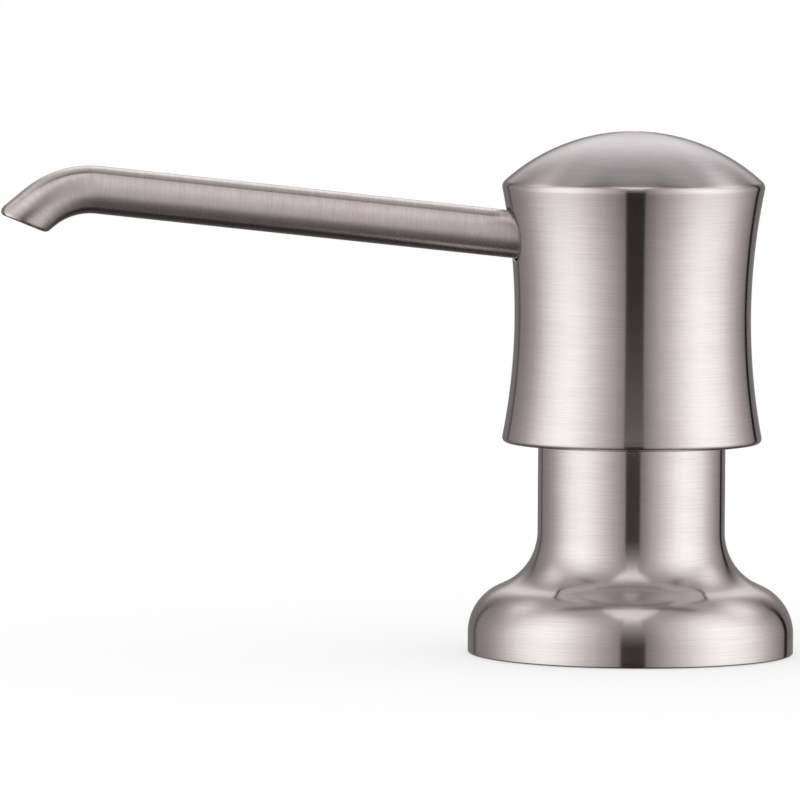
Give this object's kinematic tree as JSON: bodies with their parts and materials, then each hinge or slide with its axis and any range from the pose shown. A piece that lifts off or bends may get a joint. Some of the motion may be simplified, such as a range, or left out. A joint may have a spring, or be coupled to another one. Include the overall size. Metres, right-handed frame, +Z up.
{
  "type": "soap pump dispenser",
  "caption": "Deck-mounted soap pump dispenser: bell flange with neck, press-down swivelling head under a domed cap, long bent tube spout and the pump engine inside.",
  "frame": {"origin": "on the pump's axis in the worktop's surface, at the flange's underside", "axes": "+Z up along the pump's axis, the spout points along -X at rest"},
  "size_m": [0.1338, 0.0546, 0.0875],
  "materials": {
    "flange_nickel": "brushed nickel, brushed round the axis",
    "head_nickel": "brushed nickel, brushed round the axis",
    "spout_nickel": "brushed nickel, brushed across the tube",
    "bright_steel": "polished stainless steel",
    "spring_steel": "drawn stainless wire",
    "white_acetal": "natural moulded acetal",
    "grey_polymer": "grey moulded polypropylene",
    "black_rubber": "black nitrile rubber"
  },
  "bodies": {
    "base": {"base_flange": "flange_nickel", "deck_gasket": "black_rubber", "neck_liner": "white_acetal"},
    "pump": {"pump_collar": "grey_polymer", "collar_seal": "black_rubber", "cylinder": "white_acetal", "ball_cage": "grey_polymer", "return_spring": "spring_steel", "stem_guide": "grey_polymer", "stem_wiper": "black_rubber"},
    "inlet_valve": {"inlet_ball": "bright_steel"},
    "plunger": {"stem": "white_acetal", "piston": "grey_polymer", "piston_seal": "black_rubber", "stem_cap": "white_acetal"},
    "outlet_valve": {"outlet_ball": "bright_steel"},
    "head": {"head_shell": "head_nickel", "actuator_core": "white_acetal", "spout_tube": "spout_nickel", "spout_seal": "black_rubber", "spout_ferrule": "bright_steel", "core_seal": "black_rubber", "swivel_ring": "spring_steel"}
  },
  "joints": [
    {"name": "pump_lift", "type": "slide", "parent": "base", "child": "pump", "axis": [0, 0, 1], "range_m": [0, 0.036]},
    {"name": "head_press", "type": "slide", "parent": "pump", "child": "plunger", "axis": [0, 0, -1], "range_m": [0, 0.013], "stiffness_N_per_m": 600, "springref_m": -0.012, "deforming": ["return_spring"]},
    {"name": "head_swivel", "type": "hinge", "parent": "plunger", "child": "head", "pos_m": [0, 0, 0.065], "axis": [0, 0, 1], "continuous": true},
    {"name": "inlet_ball_lift", "type": "slide", "parent": "pump", "child": "inlet_valve", "axis": [0, 0, 1], "range_m": [0, 0.0014]},
    {"name": "outlet_ball_lift", "type": "slide", "parent": "plunger", "child": "outlet_valve", "axis": [0, 0, 1], "range_m": [0, 0.0012]}
  ]
}
